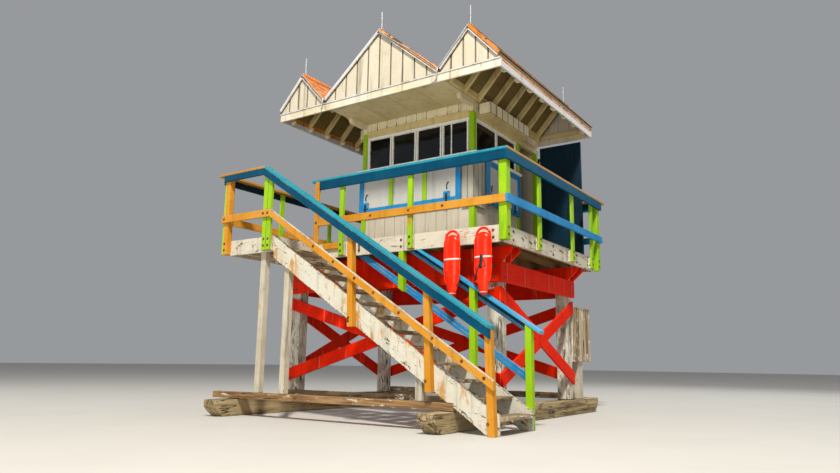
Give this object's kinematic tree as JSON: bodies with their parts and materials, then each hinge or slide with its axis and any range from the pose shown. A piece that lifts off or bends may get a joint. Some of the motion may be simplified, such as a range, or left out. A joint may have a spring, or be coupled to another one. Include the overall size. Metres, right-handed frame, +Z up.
{
  "type": "lifeguard tower",
  "caption": "Raised timber lifeguard hut with a railed deck, a stair, skids, storm shutters under its window bands, a side door and a roof of parallel gables.",
  "frame": {"origin": "middle of the bottom of the whole tower's box, on the ground", "axes": "+X along the window front to the right, towards the foot of the stair, +Y to the rear, +Z up"},
  "size_m": [5.127, 5.47, 6.4187],
  "materials": {
    "weathered_timber": "grey weathered timber, rough and cracked",
    "red_paint": "red paint on timber, faded",
    "deck_paint": "worn brown boards",
    "white_paint": "white paint on timber, peeling",
    "lime_paint": "lime paint on timber",
    "blue_paint": "blue paint on timber",
    "navy_paint": "navy paint on timber",
    "orange_paint": "orange paint on timber",
    "cream_paint": "cream paint on boards",
    "grey_paint": "grey paint on boards",
    "tan_timber": "tan stained timber",
    "roof_paint": "orange roof coating over boards",
    "window_glass": "dark glass",
    "iron": "black iron",
    "rod_steel": "galvanised steel",
    "can_plastic": "moulded red plastic"
  },
  "bodies": {
    "tower": {"braces_falling": "red_paint", "braces_rising": "red_paint", "can_cleats": "grey_paint", "ceiling": "tan_timber", "corbels": "tan_timber", "corner_boards": "grey_paint", "deck_floor": "deck_paint", "deck_joists": "weathered_timber", "door_pintles": "iron", "eave_boards": "white_paint", "end_girders": "red_paint", "front_shutter": "blue_paint", "front_wall": "cream_paint", "gable_ends": "cream_paint", "ground_beams": "weathered_timber", "guard_caps": "blue_paint", "guard_mid_rails": "orange_paint", "guard_posts": "lime_paint", "guard_top_rails": "navy_paint", "hut_posts": "lime_paint", "landing_floor": "deck_paint", "landing_frame": "white_paint", "left_shutter": "blue_paint", "left_wall": "cream_paint", "legs": "weathered_timber", "lightning_rods": "rod_steel", "long_fascias": "white_paint", "outriggers": "red_paint", "props": "weathered_timber", "rear_wall": "cream_paint", "rescue_cans": "can_plastic", "right_shutter": "blue_paint", "right_wall": "cream_paint", "roof_inner_slopes": "roof_paint", "roof_middle_left": "roof_paint", "roof_middle_right": "roof_paint", "roof_outer_slopes": "roof_paint", "side_fascias": "white_paint", "side_girders": "red_paint", "side_rafters": "tan_timber", "skid_left": "weathered_timber", "skid_right": "weathered_timber", "slatted_box": "cream_paint", "stair_caps": "blue_paint", "stair_mid_rails": "orange_paint", "stair_posts": "lime_paint", "stair_top_rails": "navy_paint", "stringers": "white_paint", "toe_board": "orange_paint", "treads": "deck_paint", "valley_beams": "tan_timber", "wall_heads": "cream_paint", "window_frames": "white_paint", "window_glass": "window_glass", "window_hoods": "cream_paint", "window_ledges": "white_paint"},
    "door": {"door_leaf": "navy_paint", "door_hardware": "iron"}
  },
  "joints": [
    {"name": "door_swing", "type": "hinge", "parent": "tower", "child": "door", "pos_m": [1.0955, 2.025, 2.69], "axis": [0, 0, 1], "range_deg": [-90, 0]}
  ]
}
